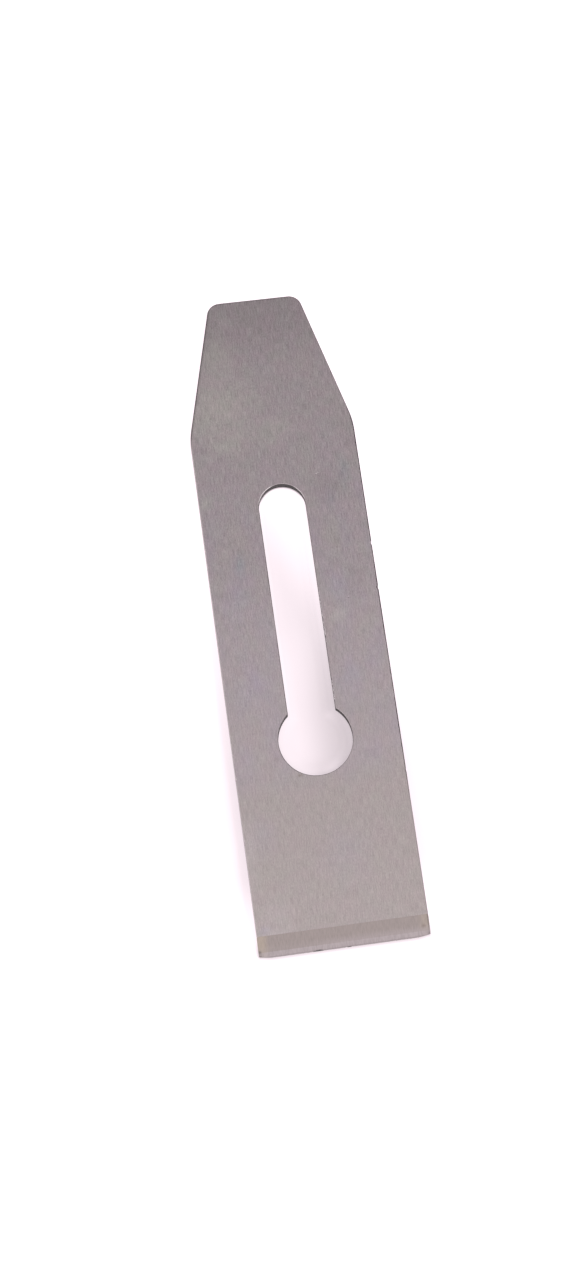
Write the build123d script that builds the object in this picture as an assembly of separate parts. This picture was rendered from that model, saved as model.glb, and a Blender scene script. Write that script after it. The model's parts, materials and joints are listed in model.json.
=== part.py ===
from build123d import *
import os
from math import radians, tan

# A plane iron: one flat blade of hardened tool steel, lying on its flat back, bevel up.
# X runs across the blade, +Y runs from the cutting edge to the head, and +Z is up.
# The origin is on the flat back, midway along and across the blade.
# Lengths are in millimetres and angles in degrees.

# Plate
blade_width = 50.0
blade_length = 202.2            # cutting edge to the head's furthest corner
blade_thickness = 3.0

# Tapered head
edge_to_shoulder = 159.0        # length of the parallel sides
head_end_width = 27.5
head_end_fall = 0.6             # the head end is a little out of square, lower on the right
head_corner_radius = 4.0
shoulder_radius = 25.0

# Slot for the cap iron's screw, and the keyhole that lets the screw's head through
slot_width = 14.2
keyhole_diameter = 22.0
edge_to_keyhole = 61.8          # cutting edge to the keyhole's centre
keyhole_to_slot_end = 72.5      # between the centres of the keyhole and of the slot's round end

# Ground cutting edge
primary_bevel_angle = 25.0
honed_bevel_angle = 30.0
honed_bevel_width = 1.6         # seen from above, beside the cutting edge

# Sharp corners taken off all round
outline_chamfer = 0.3
slot_chamfer = 0.2

# Places that follow from the sizes
cutting_edge_y = -blade_length / 2
head_end_y = blade_length / 2
shoulder_y = cutting_edge_y + edge_to_shoulder
keyhole_y = cutting_edge_y + edge_to_keyhole
slot_end_y = keyhole_y + keyhole_to_slot_end


def plate_outline():
    """The blade seen from above: parallel sides, shoulders and a tapered head."""
    half_width = blade_width / 2
    half_head = head_end_width / 2
    outline = make_face(
        Polyline(
            (-half_width, cutting_edge_y),
            (half_width, cutting_edge_y),
            (half_width, shoulder_y),
            (half_head, head_end_y - head_end_fall),
            (-half_head, head_end_y),
            (-half_width, shoulder_y),
            close=True,
        )
    )
    shoulders = outline.vertices().sort_by(Axis.Y)[2:4]
    outline = fillet(shoulders, shoulder_radius)
    head_corners = outline.vertices().sort_by(Axis.Y)[-2:]
    return fillet(head_corners, head_corner_radius)


def keyhole_slot():
    """The opening seen from above: a parallel slot that runs into a larger round hole."""
    slot = SlotCenterToCenter(keyhole_to_slot_end, slot_width, rotation=90)
    keyhole = Circle(keyhole_diameter / 2)
    return Pos(0, (keyhole_y + slot_end_y) / 2) * slot + Pos(0, keyhole_y) * keyhole


def broad_faces(plate):
    """The flat back and the flat upper face."""
    by_height = plate.faces().sort_by(Axis.Z)
    return [by_height[0], by_height[-1]]


def chamfer_outline(plate):
    """Take the corners off round the sides, the taper and the head, but not at the cutting end."""
    edges = [edge for face in broad_faces(plate) for edge in face.outer_wire().edges()]
    cutting_end = ShapeList(edges).group_by(Axis.Y)[0]
    return chamfer([edge for edge in edges if edge not in cutting_end], outline_chamfer)


def chamfer_slot(plate):
    """Take the corners off both rims of the slot and the keyhole."""
    edges = [edge for face in broad_faces(plate) for edge in face.inner_wires()[0].edges()]
    return chamfer(edges, slot_chamfer)


def bevel_waste():
    """The steel that grinding takes away: all that lies over the two bevels."""
    honed_height = honed_bevel_width * tan(radians(honed_bevel_angle))
    primary_width = (blade_thickness - honed_height) / tan(radians(primary_bevel_angle))
    bevel_top_y = cutting_edge_y + honed_bevel_width + primary_width
    outside_y = cutting_edge_y - blade_thickness
    above = 2 * blade_thickness
    side_profile = make_face(
        Polyline(
            (outside_y, 0),
            (cutting_edge_y, 0),
            (cutting_edge_y + honed_bevel_width, honed_height),
            (bevel_top_y, blade_thickness),
            (bevel_top_y, above),
            (outside_y, above),
            close=True,
        )
    )
    return extrude(Plane.YZ * side_profile, blade_width, both=True)


plate = extrude(plate_outline(), blade_thickness)
plate -= extrude(keyhole_slot(), blade_thickness)
plate = chamfer_outline(plate)
plate = chamfer_slot(plate)
plane_iron = plate - bevel_waste()
plane_iron.label = "plane_iron"

os.makedirs("parts", exist_ok=True)
export_step(plane_iron, "parts/plane_iron.step")
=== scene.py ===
# %% [markdown]
# # A plane iron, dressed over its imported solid
# A plane iron is the cutting blade of a hand plane: a flat bar of hardened steel with a long
# slot for the cap iron's screw and a bevel ground at one end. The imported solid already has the
# form and the size. This lesson adds what a drawing leaves out: softly broken corners, a worn
# edge, the ground finish, and the light.

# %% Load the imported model
import json
import math
from functools import reduce

import bpy
import numpy as np
from mathutils import Matrix, Vector, noise
from mathutils.geometry import delaunay_2d_cdt


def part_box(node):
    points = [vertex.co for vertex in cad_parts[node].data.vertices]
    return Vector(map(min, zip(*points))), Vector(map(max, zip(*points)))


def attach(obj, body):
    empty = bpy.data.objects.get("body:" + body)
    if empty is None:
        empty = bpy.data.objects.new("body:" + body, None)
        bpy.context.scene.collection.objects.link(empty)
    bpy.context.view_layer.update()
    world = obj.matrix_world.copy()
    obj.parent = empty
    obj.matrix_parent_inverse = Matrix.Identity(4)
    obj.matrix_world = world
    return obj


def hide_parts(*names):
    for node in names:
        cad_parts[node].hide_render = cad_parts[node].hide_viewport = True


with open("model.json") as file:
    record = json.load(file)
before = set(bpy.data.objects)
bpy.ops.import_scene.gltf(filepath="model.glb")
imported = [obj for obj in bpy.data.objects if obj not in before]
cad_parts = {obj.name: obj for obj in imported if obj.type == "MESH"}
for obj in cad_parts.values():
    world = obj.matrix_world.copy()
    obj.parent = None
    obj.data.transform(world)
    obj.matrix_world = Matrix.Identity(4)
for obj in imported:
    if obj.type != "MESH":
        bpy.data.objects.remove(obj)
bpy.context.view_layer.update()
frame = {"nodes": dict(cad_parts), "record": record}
print("packed nodes:", sorted(frame["nodes"]))

# %% [markdown]
# ## Sizes
# X runs across the blade, +Y from the cutting edge to the head, and Z up from the flat back.
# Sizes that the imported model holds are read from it, so the dressed blade can't drift away. The
# others are the drawing's own. Millimetres keep the numbers readable, and the mesh is made in
# metres.

# %% Sizes in millimetres
MM = 0.001
blade_low, blade_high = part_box("plane_iron")
half_width = blade_high.x / MM
thickness = blade_high.z / MM
edge_y = blade_low.y / MM
head_end_y = -edge_y
keyhole = next(m for m in frame["record"]["mounts"] if m["name"] == "keyhole")
keyhole_y = keyhole["pos_m"][1] / MM
keyhole_radius = keyhole["dims"]["r_mm"]

straight_side = 159
shoulder_y = edge_y + straight_side
shoulder_radius = 25
half_head = 27.5 / 2
head_end_fall = 0.6
head_corner_radius = 4
half_slot = 14.2 / 2
keyhole_to_slot_end = 72.5
slot_end_y = keyhole_y + keyhole_to_slot_end
print("blade width", round(2 * half_width, 2), "thickness", round(thickness, 2))

# %% [markdown]
# ## The two bevels
# The edge is ground at 25 degrees and then honed at 30, over a strip 1.6 mm wide seen from
# above. The height depends only on the distance from the edge, so one function serves for the
# bevels, the ends of the side walls and the chips. The edge itself keeps a few hundredths of a
# millimetre, as a used edge does.

# %% Height of the steel above its flat back
honed_slope = math.tan(math.radians(30))
primary_slope = math.tan(math.radians(25))
honed_width = 1.6
edge_land = 0.03
honed_top_y = edge_y + honed_width
honed_height = honed_width * honed_slope
bevel_top_y = honed_top_y + (thickness - honed_height) / primary_slope


def steel_height(y):
    """Height of the upper surface here."""
    if y < honed_top_y:
        return max(edge_land, (y - edge_y) * honed_slope)
    return min(thickness, honed_height + (y - honed_top_y) * primary_slope)


print("the bevel ends", round(bevel_top_y - edge_y, 2), "mm from the edge")

# %% [markdown]
# ## The outline and the slot as paths
# A curve with a bevel setting would make every corner equally perfect. Here the outline is a
# list of close points, and each can have a broken corner and a nick of its own. Corners with
# radii give the points, and the stretches between them are split evenly.

# %% Points along a rounded run
detail_step = 0.4
rounding = 1e-6


def arc(centre, start, turn):
    """Points on a circle, from start through a turn in radians."""
    count = max(3, math.ceil((start - centre).length * abs(turn) / detail_step))
    arm = start - centre
    return [centre + Matrix.Rotation(turn * i / count, 2) @ arm for i in range(count + 1)]


def rounded_corner(before, here, after, radius):
    """The points that replace a sharp corner."""
    arriving = (here - before).normalized()
    leaving = (after - here).normalized()
    turn = math.atan2(arriving.cross(leaving), arriving.dot(leaving))
    start = here - arriving * radius * math.tan(abs(turn) / 2)
    inward = Vector((-arriving.y, arriving.x)) * math.copysign(radius, turn)
    return arc(start + inward, start, turn)


def split_evenly(points):
    """The same line with no step longer than detail_step."""
    line = [points[0]]
    for start, end in zip(points, points[1:]):
        count = max(1, math.ceil((end - start).length / detail_step - rounding))
        line += [start.lerp(end, i / count) for i in range(1, count + 1)]
    return line


# %% [markdown]
# The outline starts at the right end of the cutting edge, goes round the head and comes back
# down the left side. The edge itself stays out of it, because it has no wall. On the stone its
# two ends were rubbed back a little, so that they leave no tracks on the wood.

# %% The outline
rubbed_length = 4
rubbed_depth = 0.58
rubbed_power = 1.2


def rubbed_back(x):
    """How far the edge is rubbed back here."""
    share = max(0, (abs(x) - half_width + rubbed_length) / rubbed_length)
    return rubbed_depth * share**rubbed_power


right_edge_end = Vector((half_width, edge_y + rubbed_depth))
left_edge_end = Vector((-half_width, edge_y + rubbed_depth))
right_shoulder = Vector((half_width, shoulder_y))
left_shoulder = Vector((-half_width, shoulder_y))
right_head = Vector((half_head, head_end_y - head_end_fall))
left_head = Vector((-half_head, head_end_y))
side_marks = [honed_top_y, bevel_top_y]

outline = split_evenly(
    [right_edge_end]
    + [Vector((half_width, y)) for y in side_marks]
    + rounded_corner(right_edge_end, right_shoulder, right_head, shoulder_radius)
    + rounded_corner(right_shoulder, right_head, left_head, head_corner_radius)
    + rounded_corner(right_head, left_head, left_shoulder, head_corner_radius)
    + rounded_corner(left_head, left_shoulder, left_edge_end, shoulder_radius)
    + [Vector((-half_width, y)) for y in reversed(side_marks)]
    + [left_edge_end]
)
print("outline points:", len(outline))

# %% [markdown]
# The slot is parallel, ends in a half circle towards the head, and runs into the keyhole at
# the other end. Where the two meet, the steel keeps two sharp corners.

# %% The slot and the keyhole
meeting_y = keyhole_y + math.sqrt(keyhole_radius**2 - half_slot**2)
right_meeting = Vector((half_slot, meeting_y))
left_meeting = Vector((-half_slot, meeting_y))
meeting_angle = math.atan2(meeting_y - keyhole_y, half_slot)

slot = split_evenly(
    [right_meeting]
    + arc(Vector((0, slot_end_y)), Vector((half_slot, slot_end_y)), math.pi)
    + arc(Vector((0, keyhole_y)), left_meeting, math.pi + 2 * meeting_angle)
)[:-1]
print("slot points:", len(slot))

# %% [markdown]
# ## Which way the steel lies
# A broken corner leans towards the steel, so each point needs that direction. At a sharp corner
# it is lengthened, which keeps the strip equally wide on both sides, as a mitre does.

# %% Directions into the steel


def into_steel(points, closed, side):
    """A mitred direction for each point; side is 1 with the steel on the left, else -1."""
    after = [end - here for here, end in zip(points, points[1:] + points[:1])]
    before = after[-1:] + after[:-1]
    if not closed:
        before[0], after[-1] = after[0], before[-1]
    leans = []
    for runs in zip(before, after):
        sides = [Vector((-run.y, run.x)).normalized() * side for run in runs]
        leans.append((sides[0] + sides[1]) / (1 + sides[0].dot(sides[1])))
    return leans


outline_leans = into_steel(outline, closed=False, side=1)
slot_leans = into_steel(slot, closed=True, side=-1)
print("longest mitre:", round(max(lean.length for lean in outline_leans + slot_leans), 2))

# %% [markdown]
# ## Wear along the corners
# Corners broken by hand are never even, and the head's are a little less broken than the others.
# Here a slow noise makes the strip wider and narrower along the blade, and a quick one adds the
# raggedness that a wheel leaves. The noise depends on the place alone, so every run is the same.

# %% How far each corner is broken
outline_break = 0.3
head_break = 0.24
head_fade = 6
slot_break = 0.2


def unit(share):
    """The share, kept between 0 and 1."""
    return min(1, max(0, share))


def unevenness(x, y, period, seed):
    """Smooth noise from -1 to 1 that changes over about one period."""
    return noise.noise(Vector((x / period, y / period, seed)))


def broken_width(point, width, seed):
    """Width of the broken strip here."""
    slow = unevenness(point.x, point.y, 9, seed)
    quick = unevenness(point.x, point.y, 0.9, seed + 7)
    return width * (1 + 0.3 * slow + 0.22 * quick)


def outline_width(point):
    """The outline's broken strip before it is made uneven."""
    return outline_break + (head_break - outline_break) * unit((point.y - shoulder_y) / head_fade)


# %% [markdown]
# The left side is rougher, with the small bites of a coarse wheel in its corner, and the
# slot's right rim still has two runs of torn burrs. Both are the noise again, cut off below a
# level, so that single bites and burrs stand apart.

# %% Bites and burrs
touching = 0.1
bite_depth = 0.16
bite_fade = 40
burr_depth = 0.2
burr_runs = [(-2.5, 8), (-26, 4.5)]


def side_roughness(point):
    """How far the left side is bitten in here."""
    if point.x >= touching - half_width:
        return 0
    bite = max(0, unevenness(point.x, point.y, 1.3, 3.1)) ** 1.5
    return bite_depth * bite * unit((shoulder_y - point.y) / bite_fade)


def slot_raggedness(point):
    """How far the slot's right rim is torn here."""
    if point.x < half_slot - touching or point.y < meeting_y:
        return 0
    reach = max(unit(half + 1 - abs(point.y - y)) for y, half in burr_runs)
    return burr_depth * reach * max(0, unevenness(point.x, point.y, 0.7, 11.7) + 0.1)


# %% [markdown]
# Knocks against other tools leave a few single nicks. Each one is a place along the side, a
# length and a depth. They dent the upper corner only, as a knock from above does.

# %% Single nicks in the sides
side_nicks = [
    (half_width, 18.2, 1.1, 0.3),
    (half_width, 4.2, 1.3, 0.26),
    (half_width, -52, 1, 0.12),
    (-half_width, -48.6, 1.2, 0.24),
    (-half_width, -67.2, 1.5, 0.22),
    (-half_width, 22, 0.9, 0.14),
]


def notch(distance, length, depth, power=2):
    """Depth of a notch this far from its middle; a high power flattens its floor."""
    return depth * max(0, 1 - (abs(distance) / (length / 2)) ** power)


def side_dent(point):
    """How far bites and nicks dent a side's upper corner here."""
    nicks = [nick[1:] for nick in side_nicks if abs(point.x - nick[0]) < touching]
    return max([side_roughness(point)] + [notch(point.y - y, *size) for y, *size in nicks])


print("deepest dent in a side:", round(max(side_dent(point) for point in outline), 2))

# %% [markdown]
# ## The profile of a wall
# Seen end on, the wall has a rounded corner below, a straight stretch and a rounded corner
# above. The profile is a list of steps: how far into the steel, and how high. A step close to
# each corner keeps its smooth shading off the straight stretch. Near the cutting edge the bevel
# cuts the wall off, so the steps above it are drawn together where the wall meets it.

# %% Steps of a wall's profile
corner_steps = 4
straight_margin = 0.1


def wall_profile(lower, upper, dent):
    """(into the steel, height) from the flat back up to the face."""
    turns = [i / corner_steps * math.pi / 2 for i in range(corner_steps + 1)]
    low_corner = [(lower * (1 - math.sin(a)), lower * (1 - math.cos(a))) for a in turns]
    bend = [(upper * (1 - math.cos(a)), upper * (1 - math.sin(a))) for a in turns]
    high_corner = [(dent + across, thickness - down) for across, down in bend]
    high_step = (dent * 0.8, thickness - upper - straight_margin)
    straight = [(0, lower + straight_margin), (dent / 5, thickness * 0.6), high_step]
    return low_corner + straight + high_corner


def cut_by_bevel(profile, ceiling):
    """The profile with the steps above the ceiling moved to its crossing."""
    if ceiling >= thickness:
        return profile
    crossing = profile[0]
    for (near, low), (far, high) in zip(profile, profile[1:]):
        if low <= ceiling < high:
            share = (ceiling - low) / (high - low)
            crossing = (near + (far - near) * share, ceiling)
    return [step if step[1] < ceiling else crossing for step in profile]


print("steps in a wall:", len(wall_profile(outline_break, outline_break, 0)))

# %% [markdown]
# ## A mesh kept in plain lists
# Corners that share a place must be one corner, or the blade would fall apart into strips.
# Blender can merge them afterwards, but a lookup by place does it while the mesh is made. It
# also shows at once when a face has shrunk to nothing, as where the bevel cuts a wall off.

# %% Corners and faces
place_digits = 5
corners = []
corner_numbers = {}
faces = []
face_finishes = []
face_smooth = []


def corner(x, y, z):
    """The number of the corner at this place, made if it is new."""
    place = (round(x, place_digits), round(y, place_digits), round(z, place_digits))
    if place not in corner_numbers:
        corner_numbers[place] = len(corners)
        corners.append(Vector(place) * MM)
    return corner_numbers[place]


def add_face(ring, finish, smooth=False):
    """Keep a face, unless its ring of corners has run together."""
    ring = [number for i, number in enumerate(ring) if number != ring[i - 1]]
    if len(ring) > 2 and len(set(ring)) == len(ring):
        faces.append(ring)
        face_finishes.append(finish)
        face_smooth.append(smooth)


# %% [markdown]
# ## Walls of the outline and of the slot
# Each path point becomes a column of corners, and neighbouring columns are joined by faces. One
# function serves both paths, because they differ only in the strip's width and in what dents it.
# Walls and rounded corners get finishes of their own: outside the blade is ground bright, and
# the slot is still dark.

# %% Columns of corners along a path
upper_seed = 3


def wall_columns(points, leans, width, dent, seed):
    """Columns from back to face; width and dent are functions of a point."""
    columns = []
    for point, lean in zip(points, leans):
        lower = broken_width(point, width(point), seed)
        upper = broken_width(point, width(point), seed + upper_seed)
        profile = cut_by_bevel(wall_profile(lower, upper, dent(point)), steel_height(point.y))
        columns.append([corner(point.x + lean.x * d, point.y + lean.y * d, z) for d, z in profile])
    return columns


def join_columns(columns, outward, wall, rim):
    """Faces between neighbouring columns; outward is 1 or -1, the side they look to."""
    for here, there in zip(columns, columns[1:]):
        for k in range(len(here) - 1):
            ring = [here[k], there[k], there[k + 1], here[k + 1]]
            on_wall = corner_steps <= k < len(here) - 1 - corner_steps
            add_face(ring[::outward], wall if on_wall else rim, smooth=True)


outline_columns = wall_columns(outline, outline_leans, outline_width, side_dent, 1.5)
slot_columns = wall_columns(slot, slot_leans, lambda point: slot_break, slot_raggedness, 21.5)
join_columns(outline_columns, 1, "side_wall", "outer_rim")
join_columns(slot_columns + slot_columns[:1], -1, "slot_wall", "slot_rim")
print("wall faces:", len(faces))

# %% [markdown]
# ## The cutting edge
# The edge joins the two lowest ends of the outline, as a wall only a few hundredths of a
# millimetre high. Where it met something hard it is chipped: the wall steps back into the bevel
# and gets a little higher.

# %% Chips in the cutting edge
edge_step = 0.2
edge_bluntness = 0.02
edge_chips = [(0.4, 0.7, 0.12), (2.1, 0.5, 0.1), (-11.4, 0.8, 0.08), (14.6, 0.5, 0.07)]


def chip_depth(x):
    """How far the edge has broken back here."""
    dull = edge_bluntness * abs(unevenness(x, 0, 0.7, 9.5))
    return max([dull] + [notch(x - centre, *size) for centre, *size in edge_chips])


left_end, right_end = outline_columns[-1], outline_columns[0]
low_left, low_right = corners[left_end[0]].x / MM, corners[right_end[0]].x / MM
high_left, high_right = corners[left_end[-1]].x / MM, corners[right_end[-1]].x / MM
edge_count = round((low_right - low_left) / edge_step)
edge = [left_end]
for i in range(1, edge_count):
    share = i / edge_count
    x_low = low_left + (low_right - low_left) * share
    x_high = high_left + (high_right - high_left) * share
    y = edge_y + rubbed_back(x_low) + chip_depth(x_low)
    edge.append([corner(x_low, y, 0), corner(x_high, y, steel_height(y))])
edge.append(right_end)
for here, there in zip(edge, edge[1:]):
    add_face([here[0], *there, *here[:0:-1]], "edge_land")
print("deepest chip in mm:", round(max(chip_depth(x / 10) for x in range(-250, 251)), 2))

# %% [markdown]
# ## Small marks in the upper face
# A few pits and one short scratch are real dents, because a bump in the material is lost
# wherever only the mesh is used. All are one form, a groove with round ends: a pit is a groove
# of no length.

# %% Pits and a scratch
pits = [
    (12.9, 68.8, 0.28, 0.07),
    (15.7, 2.4, 0.35, 0.08),
    (-18.3, 4.7, 0.25, 0.06),
    (23.1, -98.5, 0.24, 0.05),
    (9.8, -72, 0.22, 0.04),
    (-13, -30.5, 0.22, 0.04),
    (-6.3, -48.6, 0.3, 0.05),
]
grooves = [(Vector((x, y)), Vector((x, y)), radius, depth) for x, y, radius, depth in pits]
grooves.append((Vector((11, 41.9)), Vector((12.3, 42.3)), 0.2, 0.05))


def dent_at(x, y):
    """Depth of the marks here."""
    depth = 0
    here = Vector((x, y))
    for start, end, radius, deepest in grooves:
        run = end - start
        share = (here - start).dot(run) / run.length_squared if run.length else 0
        nearest = start + run * unit(share)
        away = (here - nearest).length / radius
        if away < 1:
            depth = max(depth, deepest * (1 + math.cos(math.pi * away)) / 2)
    return depth


# %% [markdown]
# The face needs corners on a groove's middle line and on both its banks, or the dent would be
# lost between them. So each place on the line gets two rings of corners, and a corner too
# close to an earlier one is left out.

# %% Corners in and round the marks
groove_step = 0.16
groove_gap = 0.05
groove_rings = [(0, 1), (0.5, 6), (1, 10)]


def groove_points():
    """Places in and round each mark where the face needs a corner."""
    places = []
    for start, end, radius, _ in grooves:
        count = max(1, round((end - start).length / groove_step))
        for middle in [start.lerp(end, i / count) for i in range(count + 1)]:
            for share, sides in groove_rings:
                for i in range(sides):
                    arm = Matrix.Rotation(2 * math.pi * i / sides, 2) @ Vector((radius * share, 0))
                    apart = [(middle + arm - other).length for other in places]
                    if min(apart, default=1) > groove_gap:
                        places.append(middle + arm)
    return [tuple(place) for place in places]


print("marks:", len(grooves), "with", len(groove_points()), "places")

# %% [markdown]
# The largest flaw isn't a notch but a flake: a sliver of the honed strip has broken off, and the
# flat back under it is whole. So the edge keeps its line, and only the height drops. The steep
# little step behind it needs two close rows of corners.

# %% Flakes along the edge
flake_step = 0.1
flake_slope = 0.05
flake_floor = 0.05
flake_least = 0.03
flakes = [(-7.8, 3.2, 0.36), (1.3, 1.8, 0.16)]


def flake_reach(x):
    """How far behind the edge the steel has flaked off here."""
    ragged = 0.9 + 0.3 * unevenness(x, 0, 0.8, 2.5)
    return max(notch(x - centre, length, depth * ragged, 4) for centre, length, depth in flakes)


def in_flake(x, y, margin=0.01):
    """Whether the steel has flaked off here."""
    reach = flake_reach(x)
    return reach > flake_least and y < edge_y + reach + margin


def flake_points():
    """Two close rows of places along the back of each flake."""
    places = []
    for centre, length, _ in flakes:
        for i in range(1, round(length / flake_step)):
            x = centre - length / 2 + i * flake_step
            back_y = edge_y + flake_reach(x)
            if flake_reach(x) > 2 * flake_least:
                places += [(x, back_y), (x, back_y + flake_slope)]
    return places


print("flake points:", len(flake_points()))

# %% [markdown]
# ## Filling the broad faces
# The upper face and the flat back each have the outline round them and the slot inside. Blender
# has no face with a hole, and long thin triangles shade badly. A Delaunay triangulation with the
# rims and the bevel lines as fixed edges gives even triangles that join the walls corner for
# corner.

# %% A test for points inside a closed line


def inside(places, line):
    """For each place, whether it lies inside the closed line."""
    places, line = np.array(places, float), np.array(line, float)
    odd = np.zeros(len(places), bool)
    for (ax, ay), (bx, by) in zip(line, np.roll(line, -1, axis=0)):
        if ay == by:
            continue
        between = (places[:, 1] < ay) != (places[:, 1] < by)
        odd ^= between & (places[:, 0] < ax + (places[:, 1] - ay) * (bx - ax) / (by - ay))
    return odd


# %% [markdown]
# Inner points lie on a loose grid that keeps clear of the rims, so no triangle gets too thin.

# %% Points well inside the steel
grid_step = 2
rim_clearance = 1.1
grid_columns = np.arange(-half_width + rim_clearance, half_width, grid_step)
grid_rows = np.arange(bevel_top_y + rim_clearance, head_end_y, grid_step)
grid = [(x, y) for x in grid_columns for y in grid_rows]
clear_outline = [point + lean * rim_clearance for point, lean in zip(outline, outline_leans)]
clear_slot = [point + lean * rim_clearance for point, lean in zip(slot, slot_leans)]
well_inside = inside(grid, clear_outline) & ~inside(grid, clear_slot)
grid = [place for place, keep in zip(grid, well_inside) if keep]
print("points on the grid:", len(grid))

# %% [markdown]
# The triangulation is flat, and it says which of the given points each of its places came
# from. A place on a ring takes the corner that is already there, any other gets a new one at
# its own height, and triangles outside the steel are thrown away.

# %% Fill one broad face
same_place = 1e-5


def loop_edges(first, count):
    """Edges of a closed loop of points, numbered from first."""
    return [(first + i, first + (i + 1) % count) for i in range(count)]


def fill_broad_face(outer, inner, lines, loose, facing, height, finish_at):
    """Triangles between two rings; height and finish_at are functions of a place."""
    ring = outer + inner
    flat = [Vector((corners[number].x / MM, corners[number].y / MM)) for number in ring]
    fixed = loop_edges(0, len(outer)) + loop_edges(len(outer), len(inner))
    for line in lines:
        fixed += [(len(flat) + i, len(flat) + i + 1) for i in range(len(line) - 1)]
        flat += [Vector(place) for place in line]
    flat += [Vector(place) for place in loose]
    places, _, triangles, sources, _, _ = delaunay_2d_cdt(flat, fixed, [], 0, same_place)
    numbers = []
    for place, source in zip(places, sources):
        known = [ring[i] for i in source if i < len(ring)]
        numbers.append(known[0] if known else corner(*place, height(*place)))
    middles = [sum((places[i] for i in t), Vector((0, 0))) / 3 for t in triangles]
    outer_line, inner_line = flat[: len(outer)], flat[len(outer) : len(ring)]
    kept = inside(middles, outer_line) & ~inside(middles, inner_line)
    for triangle, middle, keep in zip(triangles, middles, kept):
        if keep:
            add_face([numbers[i] for i in triangle][::facing], finish_at(*middle))


# %% [markdown]
# The bevel lines run from side to side, between corners that the outline already has. The rest
# of each bevel is flat and needs few points. The flat back is filled the same way, with its
# triangles turned over so that they look down.

# %% Fill the upper side and the flat back
level_step = 1
same_level = 1e-3
outer_columns = outline_columns + edge[1:-1]


def level_line(y):
    """A line across the blade between two corners of the upper ring."""
    ring = [corners[column[-1]] for column in outer_columns]
    ends = [place.x / MM for place in ring if abs(place.y / MM - y) < same_level]
    left, right = min(ends), max(ends)
    count = round((right - left) / level_step)
    return [(left + (right - left) * i / count, y) for i in range(count + 1)]


def upper_height(x, y):
    """Height of the upper side with its marks."""
    return flake_floor if in_flake(x, y) else steel_height(y) - dent_at(x, y)


def upper_finish(x, y):
    """Which finish the upper side has here."""
    if in_flake(x, y, 0.04):
        return "broken_steel"
    if y < honed_top_y:
        return "honed_bevel"
    return "primary_bevel" if y < bevel_top_y else "ground_face"


bevel_lines = [level_line(honed_top_y), level_line(bevel_top_y)]
mid_bevel_y = (honed_top_y + bevel_top_y) / 2
upper_points = grid + groove_points() + [(x, mid_bevel_y) for x, _ in bevel_lines[0][1:-1]]
upper_points += flake_points()
upper_rings = [[column[-1] for column in path] for path in (outer_columns, slot_columns)]
lower_rings = [[column[0] for column in path] for path in (outer_columns, slot_columns)]
fill_broad_face(*upper_rings, bevel_lines, upper_points, 1, upper_height, upper_finish)
print("faces with the upper side:", len(faces))
fill_broad_face(*lower_rings, [], grid, -1, lambda x, y: 0, lambda x, y: "flat_back")
print("faces in all:", len(faces))

# %% [markdown]
# ## Node helpers
# Every finish is a small tree of shader nodes that reads the place on the blade. It could be
# drawn by hand in the shader editor, but a script is easier to read and to change. One function
# adds a node to the tree in hand, which is always called tree, and sets and links its inputs.

# %% Add a node


def node(kind, inputs=None, output=0, **settings):
    """Add a node with these values or links as its inputs, and return one output."""
    made = tree.nodes.new("ShaderNode" + kind)
    for name, value in settings.items():
        setattr(made, name, value)
    for name, value in (inputs or {}).items():
        if isinstance(value, bpy.types.NodeSocket):
            tree.links.new(value, made.inputs[name])
        else:
            made.inputs[name].default_value = value
    return made.outputs[output] if made.outputs else made


# %% [markdown]
# Each sum in a finish is a node as well. Short names for them keep a formula on one line.

# %% Sums with nodes


def sums(operation, a, b=0, c=0):
    """A maths node."""
    return node("Math", {0: a, 1: b, 2: c}, operation=operation)


def times(a, b, plus=0):
    """One value times another, and a third added."""
    return sums("MULTIPLY_ADD", a, b, plus)


def less(a, b):
    """One value less another."""
    return sums("SUBTRACT", a, b)


def gap(a, b):
    """How far apart two values are."""
    return sums("ABSOLUTE", less(a, b))


def most(*values):
    """The largest of several values."""
    return reduce(lambda a, b: sums("MAXIMUM", a, b), values)


def vectors(operation, a, b, output=0):
    """A maths node for places and colours."""
    return node("VectorMath", {0: a, 1: b}, output, operation=operation)


def distance(place, centre=(0, 0, 0)):
    """How far a place is from a centre."""
    return vectors("DISTANCE", place, centre, "Value")


def axes(place):
    """The place's X, Y and Z, each as an output of its own."""
    made = tree.nodes.new("ShaderNodeSeparateXYZ")
    tree.links.new(place, made.inputs[0])
    return made.outputs[:]


# %% [markdown]
# Three more helpers do the painting: a map range makes a soft step between two places, noise
# makes clouds, and a mix lays one colour over another.

# %% Steps, clouds and tints


def rise(value, start, end, low=0, high=1):
    """A smooth step from low to high as the value goes from start to end."""
    inputs = {"Value": value, "From Min": start, "From Max": end, "To Min": low, "To Max": high}
    return node("MapRange", inputs, interpolation_type="SMOOTHSTEP")


def cloud(place, scale, detail=3, roughness=0.5):
    """Smooth noise round 0.5, with scale grains to a millimetre."""
    place = vectors("MULTIPLY", place, scale)
    inputs = {"Vector": place, "Scale": 1, "Detail": detail, "Roughness": roughness}
    return node("TexNoise", inputs, normalize=True)


def tinted(share, under, over, blend="MIX"):
    """One colour laid over another."""
    inputs = {0: share, 6: under, 7: over}
    return node("Mix", inputs, output=2, data_type="RGBA", blend_type=blend)


# %% [markdown]
# ## Steel
# Bare steel is a metal with a grey of its own and no second layer, so its finish is mostly
# roughness and grain. Surface grinding leaves fine scratches along the blade, so the noise is
# stretched along Y. It drives the colour, the roughness and the bump together, as one scratch
# does all three.

# %% Make a steel finish
finishes = {}


def empty_finish(name):
    """Start a new material, and return the place on the part in millimetres."""
    global tree
    finishes[name] = bpy.data.materials.new(name)
    finishes[name].use_nodes = True
    tree = finishes[name].node_tree
    tree.nodes.clear()
    metres = node("TexCoord", output="Object")
    return vectors("MULTIPLY", metres, (1 / MM, 1 / MM, 1 / MM))


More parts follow.
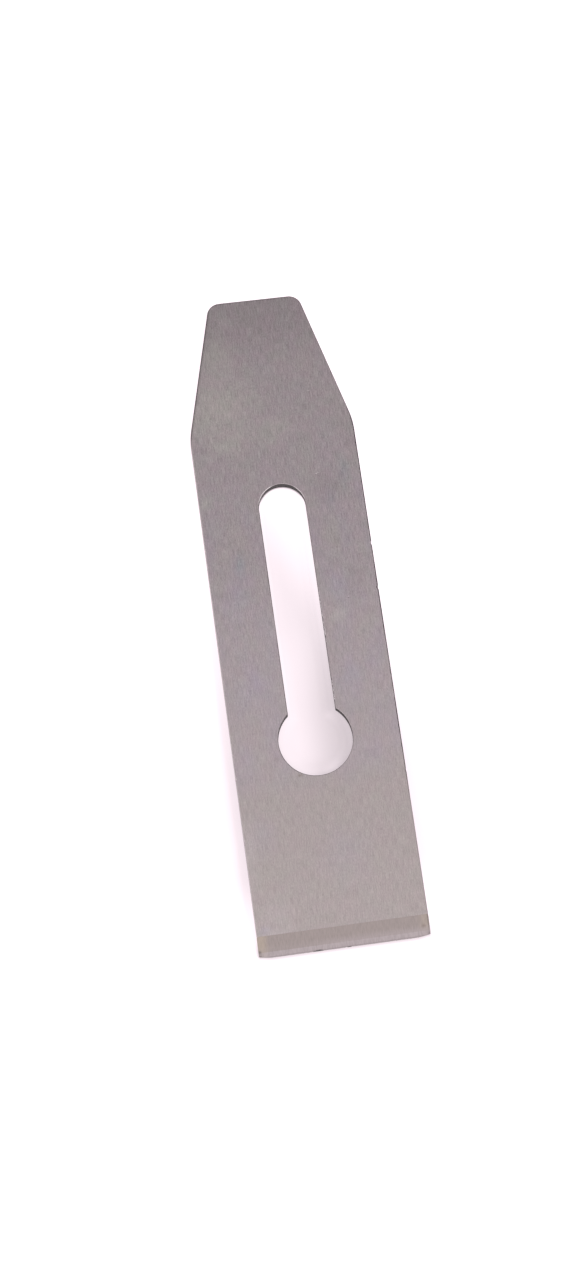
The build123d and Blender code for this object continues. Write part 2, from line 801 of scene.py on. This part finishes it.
def grain(place, scale, seed):
    """Scratch noise, with scale scratches to a millimetre."""
    return cloud(vectors("ADD", place, (seed, seed, seed)), scale, 3, 0.6)


def steel_surface(colour, roughness, height, depth, metallic=1):
    """The finish's shader and its bump, linked to the output."""
    bump = {"Height": height, "Strength": 1, "Distance": depth * MM}
    shader = {"Base Color": colour, "Roughness": roughness, "Metallic": metallic}
    shader["Normal"] = node("Bump", bump)
    steel = node("BsdfPrincipled", shader)
    node("OutputMaterial", {"Surface": steel})
    print(list(finishes)[-1], "has", len(tree.nodes), "nodes")


# %% [markdown]
# ### The ground face
# The broad face isn't one grey. Handling and the grinding coolant leave faint clouds, some
# warmer and some bluer, drawn out along the blade. All are very faint, so that the face still
# reads as one clean surface. The tints are named once, for all the finishes.

# %% Colours of the bare steel
STEEL = (0.387, 0.333, 0.346, 1)
WARM_STEEL = (0.392, 0.335, 0.341, 1)
COOL_STEEL = (0.382, 0.327, 0.363, 1)
WORN_WARM = (0.387, 0.334, 0.33, 1)
BLUISH = (0.3, 0.32, 0.34, 1)
LILAC = (0.372, 0.33, 0.395, 1)
PALE_STEEL = (0.45, 0.4, 0.405, 1)
PALE_GREY = (0.44, 0.396, 0.385, 1)
BROWN = (0.17, 0.125, 0.105, 1)
DULL_STEEL = (0.3, 0.255, 0.268, 1)
# Painted shade and the dark of reflections, for rims, corners, the head's edges and the flake.
PAINTED_DARK = (0.06, 0.052, 0.055, 1)
GREENISH = (0.965, 1, 0.975, 1)
PINKISH = (1, 0.962, 0.988, 1)

# %% [markdown]
# A few stains have a place of their own: bluish spots beside the slot, lilac patches, paler
# ones on the head and near the bevel, and small brown specks. Each is a soft oval with its rim
# broken up by noise, and a list gives its middle, half sizes, tint and strength. That is
# quicker to correct than a painted image, and it needs no file.

# %% Stains
face_stains = [
    (-15, 16, 2.6, 6, BLUISH, 0.5),
    (20, 42, 3, 7, BLUISH, 0.42),
    (14.6, 33, 2.2, 5, BLUISH, 0.3),
    (12, -2.5, 4.8, 3.6, PALE_STEEL, 0.55),
    (-16.4, 5, 6.5, 9, LILAC, 0.35),
    (-14.9, -21.6, 5.5, 8, LILAC, 0.4),
    (13, 6, 5, 6, LILAC, 0.4),
    (13.5, -21.8, 5.5, 9, LILAC, 0.4),
    (-22.3, -93.6, 3, 2.2, LILAC, 0.5),
    (-19.3, -66, 7, 9, LILAC, 0.22),
    (4, -74, 12, 13, LILAC, 0.2),
    (-19, -90, 9, 9, PALE_STEEL, 0.35),
    (-18, -96, 9, 3.5, PALE_STEEL, 0.6),
    (-23.5, -70, 3.5, 16, PALE_STEEL, 0.45),
    (-15, 66, 19, 17, PALE_GREY, 0.9),
    (-12, 55, 7, 6, PALE_GREY, 0.55),
    (1, 58, 8, 7, PALE_GREY, 0.6),
    (-13, 84, 8, 11, PALE_GREY, 0.75),
    (-10, 95, 5.5, 6, PALE_STEEL, 0.75),
    (-23, 37, 2.5, 4, PALE_GREY, 0.6),
    (14.5, 38, 8, 9, DULL_STEEL, 0.36),
    (23, 55, 3.5, 6, DULL_STEEL, 0.3),
    (18.5, 7, 4.5, 9, DULL_STEEL, 0.28),
    (13, 80, 5, 12, WARM_STEEL, 0.5),
    (-6, -49.6, 1.3, 0.7, BROWN, 0.45),
    (-12.1, -43.9, 1.2, 1.2, BROWN, 0.16),
    (-21.6, 7.6, 0.5, 0.6, BROWN, 0.28),
    (-17.4, -2.6, 0.5, 0.6, BROWN, 0.22),
]


def stain(place, colour, x, y, half_across, half_along, tint, strength):
    """A soft ragged oval of another tint."""
    centred = vectors("SUBTRACT", place, (x, y, 0))
    oval = vectors("MULTIPLY", centred, (1 / half_across, 1 / half_along, 0))
    broken_up = cloud(oval, (1.8, 1.8, 0), 3, 0.6)
    ragged = times(broken_up, 1.1, plus=distance(oval))
    return tinted(rise(ragged, 1.6, 0.5, 0, strength), colour, tint)


# %% [markdown]
# Thin dark lines are painted close to the head's left edge and, fainter, along its end. They
# are painted shade, a stand-in for the dark that the broken corner beside them reflects. Such a
# line needs no geometry: a dot product gives the distance to each edge, and a narrow rise of it
# gives the line.

# %% Painted shade lines on the head
head_shade_lines = [(left_shoulder, left_head, 0.26), (left_head, right_head, 0.12)]


def head_edge_shade(place, colour):
    """Painted shade along the head's straight edges."""
    for start, end, strength in head_shade_lines:
        run = (end - start).normalized()
        square = (run.y, -run.x, 0)
        reach = vectors("DOT_PRODUCT", place, square, "Value")
        away = less(reach, start.x * square[0] + start.y * square[1])
        colour = tinted(rise(away, 0.85, 0.4, 0, strength), colour, PAINTED_DARK)
    return colour


# %% [markdown]
# The tree starts with two kinds of clouds, gives the blade's ends and middle a tone of their
# own, and lays the stains over them. A last slow noise lets the grey drift between greenish
# and pinkish, as bare steel does, and more so on the head.

# %% The ground face: clouds, tones and stains
place = empty_finish("ground_face")
_, along, _ = axes(place)
on_head = rise(along, -55, 45)
clouds = rise(cloud(place, (0.16, 0.07, 0)), 0.25, 0.75)
patches = rise(cloud(place, (0.45, 0.3, 0)), 0.3, 0.7)
colour = tinted(clouds, COOL_STEEL, WARM_STEEL)
colour = tinted(times(patches, 0.4), colour, STEEL)
colour = tinted(rise(along, 30, 48, 0, 0.6), colour, STEEL)
colour = tinted(rise(along, -44, -58, 0, 0.85), colour, WORN_WARM)
for mark in face_stains:
    colour = stain(place, colour, *mark)
colour = tinted(rise(along, 76, 98, 0, 0.55), colour, DULL_STEEL)
drift = rise(cloud(place, (0.17, 0.15, 0), 4, 0.65), 0.33, 0.67)
drift = tinted(drift, GREENISH, PINKISH)
drift_share = times(on_head, 0.4, plus=0.6)
colour = tinted(drift_share, colour, drift, blend="MULTIPLY")
# Painted shade: thin dark lines along the head's edges.
colour = head_edge_shade(place, colour)

# %% [markdown]
# The grain comes last, over all the tints. Long and short scratches make it together, and it is
# stronger towards the head. The same shade also paints the lower half a few per cent brighter, a
# stand-in for the lighter reflection there.

# %% The ground face: grain
long_scratches = grain(place, (4, 0.3, 0), 11)
short_scratches = grain(place, (7, 1.6, 0), 37)
scratches = times(sums("ADD", long_scratches, short_scratches), 0.5)
contrast = times(on_head, 0.11, plus=0.25)
shade = rise(scratches, 0.25, 0.75, -1, 1)
shade = times(shade, contrast, plus=1)
shade = times(shade, rise(patches, 0, 1, 0.985, 1.015))
# Painted light: the lower half a few per cent brighter.
shade = times(shade, rise(along, 22, -10, 0.993, 1.05))
colour = vectors("MULTIPLY", colour, shade)
roughness = rise(scratches, 0.25, 0.75, 0.3, 0.42)
steel_surface(colour, roughness, scratches, 0.004)

# %% [markdown]
# ### The bevels
# The primary bevel was ground on a wheel, so it is coarser and a little darker than the face.
# Its ends have a straw tint where the thin steel ran warm, with a brown scorch on the right.
# Painted shade darkens the rubbed corners and the right margin, and a thin painted dark line runs
# along the edge, stopping short of its very tip. The honed strip was worked on a stone, which
# leaves it finer and brighter. One function makes both, as they differ only in tone and roughness.

# %% Bevel finishes
PRIMARY_TONE = (0.284, 0.24, 0.233, 1)
HONED_TONE = (0.35, 0.298, 0.308, 1)
STRAW = (0.4, 0.326, 0.262, 1)
# Painted shade for the thin dark line along the edge.
EDGE_LINE_SHADE = (0.085, 0.07, 0.078, 1)
# The brown mark is a scorch; the three dark ones are painted shade at the rubbed corners.
bevel_stains_and_shade = [
    (23.3, edge_y + 2.9, 1.1, 0.8, BROWN, 0.55),
    (0.3 - half_width, edge_y + 1.7, 0.9, 0.9, PAINTED_DARK, 0.7),
    (0.3 - half_width, edge_y + 0.7, 1, 0.4, PAINTED_DARK, 0.6),
    (half_width - 0.3, edge_y + 0.8, 0.8, 0.7, PAINTED_DARK, 0.6),
]


def bevel_finish(name, tone, roughness, straw_strength):
    """A bevel with short marks, straw ends and a painted dark line along the edge."""
    place = empty_finish(name)
    across, along, _ = axes(place)
    marks = grain(place, (2.6, 0.5, 0), 53)
    patches = cloud(place, (0.5, 0.5, 0), 2)
    wavering = times(patches, 1.6, plus=sums("ABSOLUTE", across))
    straw = rise(wavering, half_width - 3, half_width - 0.6, 0, straw_strength)
    straw = times(straw, rise(across, -10, 10, 1, 0.65))
    colour = tinted(straw, tone, STRAW)
    for mark in bevel_stains_and_shade:
        colour = stain(place, colour, *mark)
    # Painted shade along the bevel's right margin.
    painted_shade_margin = rise(across, half_width - 0.6, half_width - 0.3, 0, 0.4)
    colour = tinted(painted_shade_margin, colour, PAINTED_DARK)
    near_hone = rise(along, honed_top_y + 2.2, honed_top_y, 0, 0.55)
    near_hone = times(near_hone, rise(across, -16, 2, 0.35, 1))
    colour = tinted(near_hone, colour, HONED_TONE)
    # Painted shade: a thin dark line along the edge, stopping short of its very tip.
    ragged = times(patches, -0.5, plus=along)
    edge_line_shade = rise(ragged, edge_y + 0.3, edge_y + 0.05, 0, 0.22)
    bright_tip = rise(ragged, edge_y - 0.22, edge_y - 0.02)
    colour = tinted(times(edge_line_shade, bright_tip), colour, EDGE_LINE_SHADE)
    shade = rise(marks, 0.25, 0.75, 0.88, 1.12)
    colour = vectors("MULTIPLY", colour, shade)
    steel_surface(colour, rise(marks, 0.3, 0.7, *roughness), marks, 0.006)


bevel_finish("primary_bevel", PRIMARY_TONE, (0.42, 0.54), 0.46)
bevel_finish("honed_bevel", HONED_TONE, (0.32, 0.44), 0.2)

# %% [markdown]
# ### Walls and rims
# The outer walls are ground, with the marks running along them, and so is the flat back. The
# slot was punched before hardening and never ground, so its walls keep a rough brown-black skin,
# made darker still as painted shade. The edge's own thin wall and the flaked steel are painted
# dark as shade, and are coarse. These finishes differ only in two colours, roughness and the size
# of their patches, so one function makes them all.

# %% Plain walls
# A painted highlight for rims that face the light.
PAINTED_HIGHLIGHT = (0.62, 0.565, 0.575, 1)
DARK_SKIN_AND_SHADE = (0.022, 0.019, 0.019, 1)
LIGHTER_SKIN_AND_SHADE = (0.048, 0.041, 0.041, 1)
WALL_STEEL = (0.33, 0.29, 0.3, 1)
BROKEN_STEEL = (0.13, 0.112, 0.112, 1)


def plain_steel(name, dark, light, roughness, period, metallic=1):
    """Steel that varies between two colours over a period in millimetres."""
    place = empty_finish(name)
    along_wall = grain(place, (0.4, 0.4, 6), 5)
    patches = cloud(place, (1 / period, 1 / period, 1 / period))
    colour = tinted(rise(patches, 0.35, 0.65), dark, light)
    rough = rise(along_wall, 0.3, 0.7, *roughness)
    steel_surface(colour, rough, along_wall, 0.006, metallic)


plain_steel("side_wall", WALL_STEEL, STEEL, (0.4, 0.52), 6)
plain_steel("flat_back", STEEL, WARM_STEEL, (0.3, 0.4), 20)
# Dark skin, made darker still as painted shade.
plain_steel("slot_wall", DARK_SKIN_AND_SHADE, LIGHTER_SKIN_AND_SHADE, (0.6, 0.8), 2, 0)
# The edge's thin wall: painted shade.
plain_steel("edge_land", DARK_SKIN_AND_SHADE, LIGHTER_SKIN_AND_SHADE, (0.45, 0.6), 1)
# The flaked steel: painted shade.
plain_steel("broken_steel", PAINTED_DARK, BROKEN_STEEL, (0.6, 0.8), 0.6, 0)

# %% [markdown]
# The slot's rim is painted dark too, as shade and the dark it reflects. Its very corner is worn
# bare, and towards the light it is painted lighter: less so on the left rim, and on the right rim
# over its whole height. Painted glints sit on both sides of the round end, and in broken runs
# where the burrs catch the light. The rim is too narrow to be cut into more faces, so the height
# on the wall and the place along it choose the colour.

# %% The slot's rim
place = empty_finish("slot_rim")
across, along, up = axes(place)
speckle = cloud(place, (1.8, 1.8, 1.8), 2)
to_corner = times(speckle, 0.08, plus=gap(up, thickness / 2))
# The worn corner, halved on the left rim as painted shade.
bare_or_lit = rise(to_corner, 1.47, 1.53)
bare_or_lit = times(bare_or_lit, rise(across, 1 - half_slot, 0.3 - half_slot, 1, 0.5))
# Painted light: the right rim lighter over its whole height.
above_keyhole = rise(along, meeting_y, meeting_y + 1)
low_in_keyhole = rise(along, keyhole_y + 5, keyhole_y + 2.5)
lit_right_rim = most(above_keyhole, low_in_keyhole)
lit_right_rim = times(lit_right_rim, rise(across, half_slot - 1, half_slot - 0.3, 0, 0.8))
bare_or_lit = most(bare_or_lit, lit_right_rim)

# Painted glints at the round end and on the burr runs.
painted_glint = most(rise(across, -1.8, -3.2), rise(across, 3.8, 5.4, 0, 0.6))
painted_glint = times(painted_glint, rise(along, slot_end_y + 0.8, slot_end_y + 2.8))
burrs = times(rise(speckle, 0.4, 0.6), rise(across, half_slot - 0.3, half_slot - 0.1))
runs = [times(burrs, rise(gap(along, y), half + 1, half - 1)) for y, half in burr_runs]
painted_glint = most(painted_glint, *runs)
colour = tinted(bare_or_lit, PAINTED_DARK, STEEL)
colour = tinted(painted_glint, colour, PAINTED_HIGHLIGHT)
steel_surface(colour, rise(speckle, 0.3, 0.7, 0.3, 0.42), speckle, 0.006)

# %% [markdown]
# The outline's broken corners are painted dark on the head and along the right side, a
# stand-in for the shade and dark surroundings they reflect. They are left steel-coloured down the
# left side, near the bevel, in the deepest nick and on the head's right, and the left side gets a
# painted highlight too. The dark stretches keep faint worn spots.

# %% The outer rim
place = empty_finish("outer_rim")
across, along, _ = axes(place)
painted_highlight_left = rise(across, -half_width + 0.8, -half_width + 0.3)
painted_highlight_left = times(painted_highlight_left, rise(along, shoulder_y + 4, shoulder_y - 6))
head_right = rise(along, shoulder_y - 2, shoulder_y + 6, 0, 0.7)
head_right = times(head_right, rise(across, 9, 12.5))
worn_spots = cloud(place, (0.8, 0.8, 0.8))
lit_or_worn = rise(worn_spots, 0.35, 0.65, 0, 0.22)
near_bevel = rise(along, -50, -62)
in_nick = rise(gap(along, side_nicks[0][1]), 0.8, 0.4)
lit_or_worn = most(lit_or_worn, painted_highlight_left, head_right, near_bevel, in_nick)
# Painted dark wherever light or wear doesn't lift it.
colour = tinted(lit_or_worn, PAINTED_DARK, STEEL)
colour = tinted(times(painted_highlight_left, 0.5), colour, PAINTED_HIGHLIGHT)
rough = grain(place, (0.6, 0.6, 5), 3)
steel_surface(colour, rise(rough, 0.3, 0.7, 0.4, 0.52), rough, 0.005)

# %% [markdown]
# ## The dressed blade
# The lists become one mesh, and each face gets its finish. The piece then takes the packed
# solid's place in the picture, while the solid stays behind it for collision.

# %% Make the mesh and hand it to the frame
blade_finishes = ["ground_face", "primary_bevel", "honed_bevel", "flat_back", "side_wall"]
blade_finishes += ["outer_rim", "slot_wall", "slot_rim", "edge_land", "broken_steel"]
sharp_angle = math.radians(40)


def add_object(name, data):
    """An object in the scene for this mesh, light or camera."""
    made = bpy.data.objects.new(name, data)
    bpy.context.scene.collection.objects.link(made)
    return made


mesh = bpy.data.meshes.new("ground_blade")
mesh.from_pydata(corners, [], faces)
for name in blade_finishes:
    mesh.materials.append(finishes[name])
mesh.polygons.foreach_set("material_index", [blade_finishes.index(f) for f in face_finishes])
mesh.set_sharp_from_angle(angle=sharp_angle)
mesh.polygons.foreach_set("use_smooth", face_smooth)
mesh.update()
blade = add_object("ground_blade", mesh)
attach(blade, "root")
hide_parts("plane_iron")
print("corners:", len(mesh.vertices), "faces:", len(mesh.polygons))

# %% [markdown]
# A closed mesh has each edge twice, once in each direction. Counting them finds a hole or a
# doubled face that a look at the picture would miss.

# %% Check the mesh
edge_uses = {}
for ring in faces:
    for a, b in zip(ring, ring[1:] + ring[:1]):
        edge_uses[a, b] = edge_uses.get((a, b), 0) + 1
print("open edges:", sum(edge_uses.get((b, a), 0) != edge_uses[a, b] for a, b in edge_uses))

# %% [markdown]
# ## The floor
# The blade lies on a white sheet that is only a stage for the picture, and so large that the
# camera sees no end of it. It lies a hair below the flat back, because two faces in one plane
# would flicker.

# %% A white sheet
sheet_reach = 1.6
sheet_drop = 0.00002
square = [(-1, -1), (1, -1), (1, 1), (-1, 1)]
floor_mesh = bpy.data.meshes.new("white_sheet")
floor_mesh.from_pydata(
    [(x * sheet_reach, y * sheet_reach, -sheet_drop) for x, y in square], [], [(0, 1, 2, 3)]
)
floor = add_object("white_sheet", floor_mesh)
print("the sheet is", 2 * sheet_reach, "m wide")

# %% [markdown]
# In the picture the sheet is brighter than white, apart from the soft shadow on the left. More
# lamp light would wash out the steel, so the sheet is pale and glows, but only for the camera
# and in reflections. The glow is fainter beside the blade's lower half, where the shadow should
# show, and full further off.

# %% The glow round the blade
place = empty_finish("white_sheet")
across, along, _ = axes(place)
aside = sums("ABSOLUTE", across)
open_glow = rise(along, -58, 30, 0.7, 0.98)
open_glow = sums("ADD", open_glow, rise(along, -76, -92, 0, 0.19))
open_glow = most(open_glow, rise(distance(place), 120, 180))

# %% [markdown]
# A glow has no shadow of its own, so inside the slot it is turned down as painted shade, which
# takes the distance to the wall. In the slot that is half the width less the distance to the
# middle line, in the keyhole the radius less the distance to the centre, and the larger of the two
# holds.

# %% Distance to the slot's wall
past_end = most(less(along, slot_end_y), 0)
past_keyhole = sums("MINIMUM", less(along, keyhole_y), 0)
off_line = {0: across, 1: sums("ADD", past_end, past_keyhole)}
from_line = distance(node("CombineXYZ", off_line))
from_keyhole = distance(place, (0, keyhole_y, 0))
slot_room = less(half_slot, from_line)
keyhole_room = less(keyhole_radius, from_keyhole)
to_wall = most(slot_room, keyhole_room)

# %% [markdown]
# The shade in the slot runs at a slant, from grey at the keyhole to white at the round end. It
# is lighter to the left and close to the walls, which throw light back, and darker towards the
# keyhole and at the foot of the round end. Each line adds one of these, a share times the
# stretch where it holds.

# %% The glow inside the slot
slanting = times(across, 2.58, plus=along)
slot_glow = rise(slanting, -1.8, 42.2, 0.407, 0.724)
for share, bound in (
    # Lighter places.
    (rise(across, 8.4, -7.25, 0, 0.313), rise(along, 0.3, -30.6, 0.483, 1)),
    (rise(across, 0.15, 5.3, 0.06, 0.216), rise(to_wall, 4.36, 0.49)),
    (rise(across, -5.6, -7, 0, 0.09), rise(along, meeting_y, meeting_y + 3)),
    # Darker places.
    (rise(along, -6, -33.2, 0, -0.134), 1),
    (rise(along, keyhole_y - 4, keyhole_y - 8, 0, -0.03), rise(across, 3, 0)),
    (rise(to_wall, 0.5, -0.1, 0, -0.7), rise(along, slot_end_y + 2, slot_end_y + 5)),
):
    slot_glow = times(share, bound, plus=slot_glow)

# %% [markdown]
# The change from one glow to the other lies hidden under the steel. A thin shadow is painted
# into the glow along the cutting edge. Glow and paper are both faintly pink, which shows only in
# the shadow.

# %% The sheet's finish
PAPER = (0.27, 0.238, 0.252, 1)
SHINE = (1, 0.885, 0.94, 1)
under_blade = times(rise(aside, 20, 14), rise(along, edge_y + 6, keyhole_y - 20))
under_blade = times(under_blade, rise(along, slot_end_y + 16, slot_end_y + 9))
rubbed = rise(aside, half_width - rubbed_length, half_width, 0, rubbed_depth)
from_edge = less(less(along, rubbed), edge_y)
# Painted shadow along the cutting edge.
edge_shade = rise(from_edge, -1.4, -0.1, 0, 0.45)
edge_shade = times(edge_shade, rise(along, edge_y + 6, edge_y + 2))
edge_shade = times(edge_shade, rise(aside, half_width + 1, half_width - 0.5))
rays = tree.nodes.new("ShaderNodeLightPath").outputs
seen = most(rays["Is Camera Ray"], rays["Is Glossy Ray"], rays["Is Transmission Ray"])
glow = node("Mix", {0: under_blade, 2: open_glow, 3: slot_glow})
glow = times(seen, less(glow, edge_shade))
paper = node("BsdfDiffuse", {"Color": PAPER})
shine = node("Emission", {"Color": SHINE, "Strength": glow})
both = node("AddShader", {0: paper, 1: shine})
node("OutputMaterial", {"Surface": both})
floor_mesh.materials.append(finishes["white_sheet"])
print("the sheet's finish has", len(tree.nodes), "nodes")

# %% [markdown]
# ## Light
# Ground steel shows its surroundings more than its own colour, so the room matters more than
# the lamp. The room is bright overhead and in front, darker behind the head and to the right,
# and brighter again low behind the head. That alone makes the blade run from a darker head to
# a lighter edge. The camera sees plain white instead.

# %% The room
room_levels = [(-1, 0.6), (-0.6, 0.7), (-0.3, 0.95), (0.65, 0.11), (0.78, 0.18), (1, 0.55)]
room_strength = 2
world = bpy.data.worlds.new("room")
world.use_nodes = True
bpy.context.scene.world = world
tree = world.node_tree
tree.nodes.clear()
across, along, _ = axes(node("TexCoord", output="Generated"))
ramp = tree.nodes.new("ShaderNodeValToRGB")
while len(ramp.color_ramp.elements) < len(room_levels):
    ramp.color_ramp.elements.new(0.5)
for stop, (position, level) in zip(ramp.color_ramp.elements, room_levels):
    stop.position = (position + 1) / 2
    stop.color = (level, level, level, 1)
tree.links.new(times(along, 0.5, plus=0.5), ramp.inputs[0])
strength = times(rise(across, 0.5, 0.95, 1, 0.45), room_strength)
room = node("Background", {"Color": ramp.outputs[0], "Strength": strength})
white = node("Background", {"Color": (1, 1, 1, 1), "Strength": 1})
rays = tree.nodes.new("ShaderNodeLightPath").outputs
seen = node("MixShader", {0: rays["Is Camera Ray"], 1: room, 2: white})
node("OutputWorld", {"Surface": seen})
print("the room has", len(ramp.color_ramp.elements), "levels of light")

# %% [markdown]
# One large soft lamp on the right gives the shadow, which a small one would draw with a hard
# edge. It is kept out of reflections, because the ground face would show it as one bright patch.

# %% The soft lamp on the right
lamp_distance = 1.1
lamp_height = math.radians(45)
lamp_direction = Vector((math.cos(lamp_height), 0.05, math.sin(lamp_height)))
light = bpy.data.lights.new("window", "AREA")
light.shape = "RECTANGLE"
light.size, light.size_y = 0.9, 0.47
light.energy = 12.5
lamp = add_object("window", light)
lamp.location = lamp_direction.normalized() * lamp_distance
lamp.rotation_euler = lamp_direction.to_track_quat("Z", "Y").to_euler()
lamp.visible_glossy = False
print("lamp", lamp_distance, "m away,", light.energy, "W")

# %% [markdown]
# ## The camera
# The camera looks down from a little on the cutting-edge side, so the slot's far wall shows as a
# thin dark line. It is aimed at a point on the flat back and rolled until the head leans to the
# left. Its fairly long lens keeps the blade's sides almost parallel.

# %% Place and aim the camera
camera_place = Vector((-26.23, -210.51, 745.55)) * MM
aim = Vector((-3.84, -5.08, 0)) * MM
roll = math.radians(-8.072)
lens = 73.81

looking = (aim - camera_place).normalized()
right = looking.cross(Vector((0, 1, 0))).normalized()
upward = right.cross(looking)
turned_right = right * math.cos(roll) + upward * math.sin(roll)
turned_up = turned_right.cross(looking)
pose = Matrix((turned_right, turned_up, -looking)).transposed().to_4x4()
pose.translation = camera_place

camera_data = bpy.data.cameras.new("camera")
camera_data.lens = lens
camera_data.sensor_width = 36
camera_data.clip_start = 0.01
camera = add_object("camera", camera_data)
camera.matrix_world = pose
bpy.context.scene.camera = camera
bpy.context.scene.view_settings.view_transform = "Standard"
print("camera", round((aim - camera_place).length / MM, 1), "mm from the blade")
